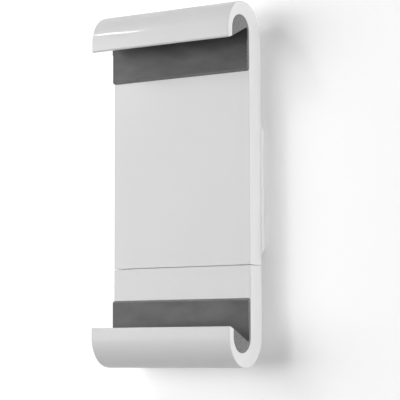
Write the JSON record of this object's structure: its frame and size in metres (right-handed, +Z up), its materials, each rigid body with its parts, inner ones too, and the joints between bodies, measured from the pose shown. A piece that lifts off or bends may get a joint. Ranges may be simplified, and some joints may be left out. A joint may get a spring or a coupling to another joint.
{
  "type": "tablet wall mount",
  "caption": "Spring-loaded tablet wall mount: a flat white holder with soft-lined hooks at top and bottom; the lower hook slides down to take the tablet.",
  "frame": {"origin": "centre of the wall plate's back face, which lies on the wall", "axes": "+Y into the wall, +Z up, +X to the right as seen from the room"},
  "size_m": [0.07, 0.0287, 0.1545],
  "materials": {
    "shell_plastic": "white moulded plastic, glossy",
    "plate_plastic": "white moulded plastic, fine texture",
    "cover_plastic": "white moulded plastic, fine texture",
    "slider_plastic": "low-friction white plastic, satin",
    "soft_pad": "dark grey soft elastomer with a fine grain",
    "buffer_rubber": "black rubber",
    "spring_steel": "bright spring wire",
    "screw_steel": "zinc-plated steel"
  },
  "bodies": {
    "holder": {"wall_plate": "plate_plastic", "upper_shell": "shell_plastic", "rear_cover": "cover_plastic", "rear_cover_screws": "screw_steel", "upper_pad": "soft_pad", "upper_spring_screws": "screw_steel", "upper_spring_washers": "screw_steel", "stop_buffer": "buffer_rubber", "spring_left": "spring_steel", "spring_right": "spring_steel"},
    "lower_hook": {"lower_shell": "shell_plastic", "slider_plate": "slider_plastic", "slider_screws": "screw_steel", "lower_rear_cover": "cover_plastic", "lower_cover_screws": "screw_steel", "lower_pad": "soft_pad", "lower_spring_screws": "screw_steel", "lower_spring_washers": "screw_steel"}
  },
  "joints": [
    {"name": "lower_hook_slide", "type": "slide", "parent": "holder", "child": "lower_hook", "axis": [0, 0, -1], "range_m": [0, 0.055], "stiffness_N_per_m": 120, "springref_m": -0.03, "deforming": ["spring_left", "spring_right"]}
  ]
}
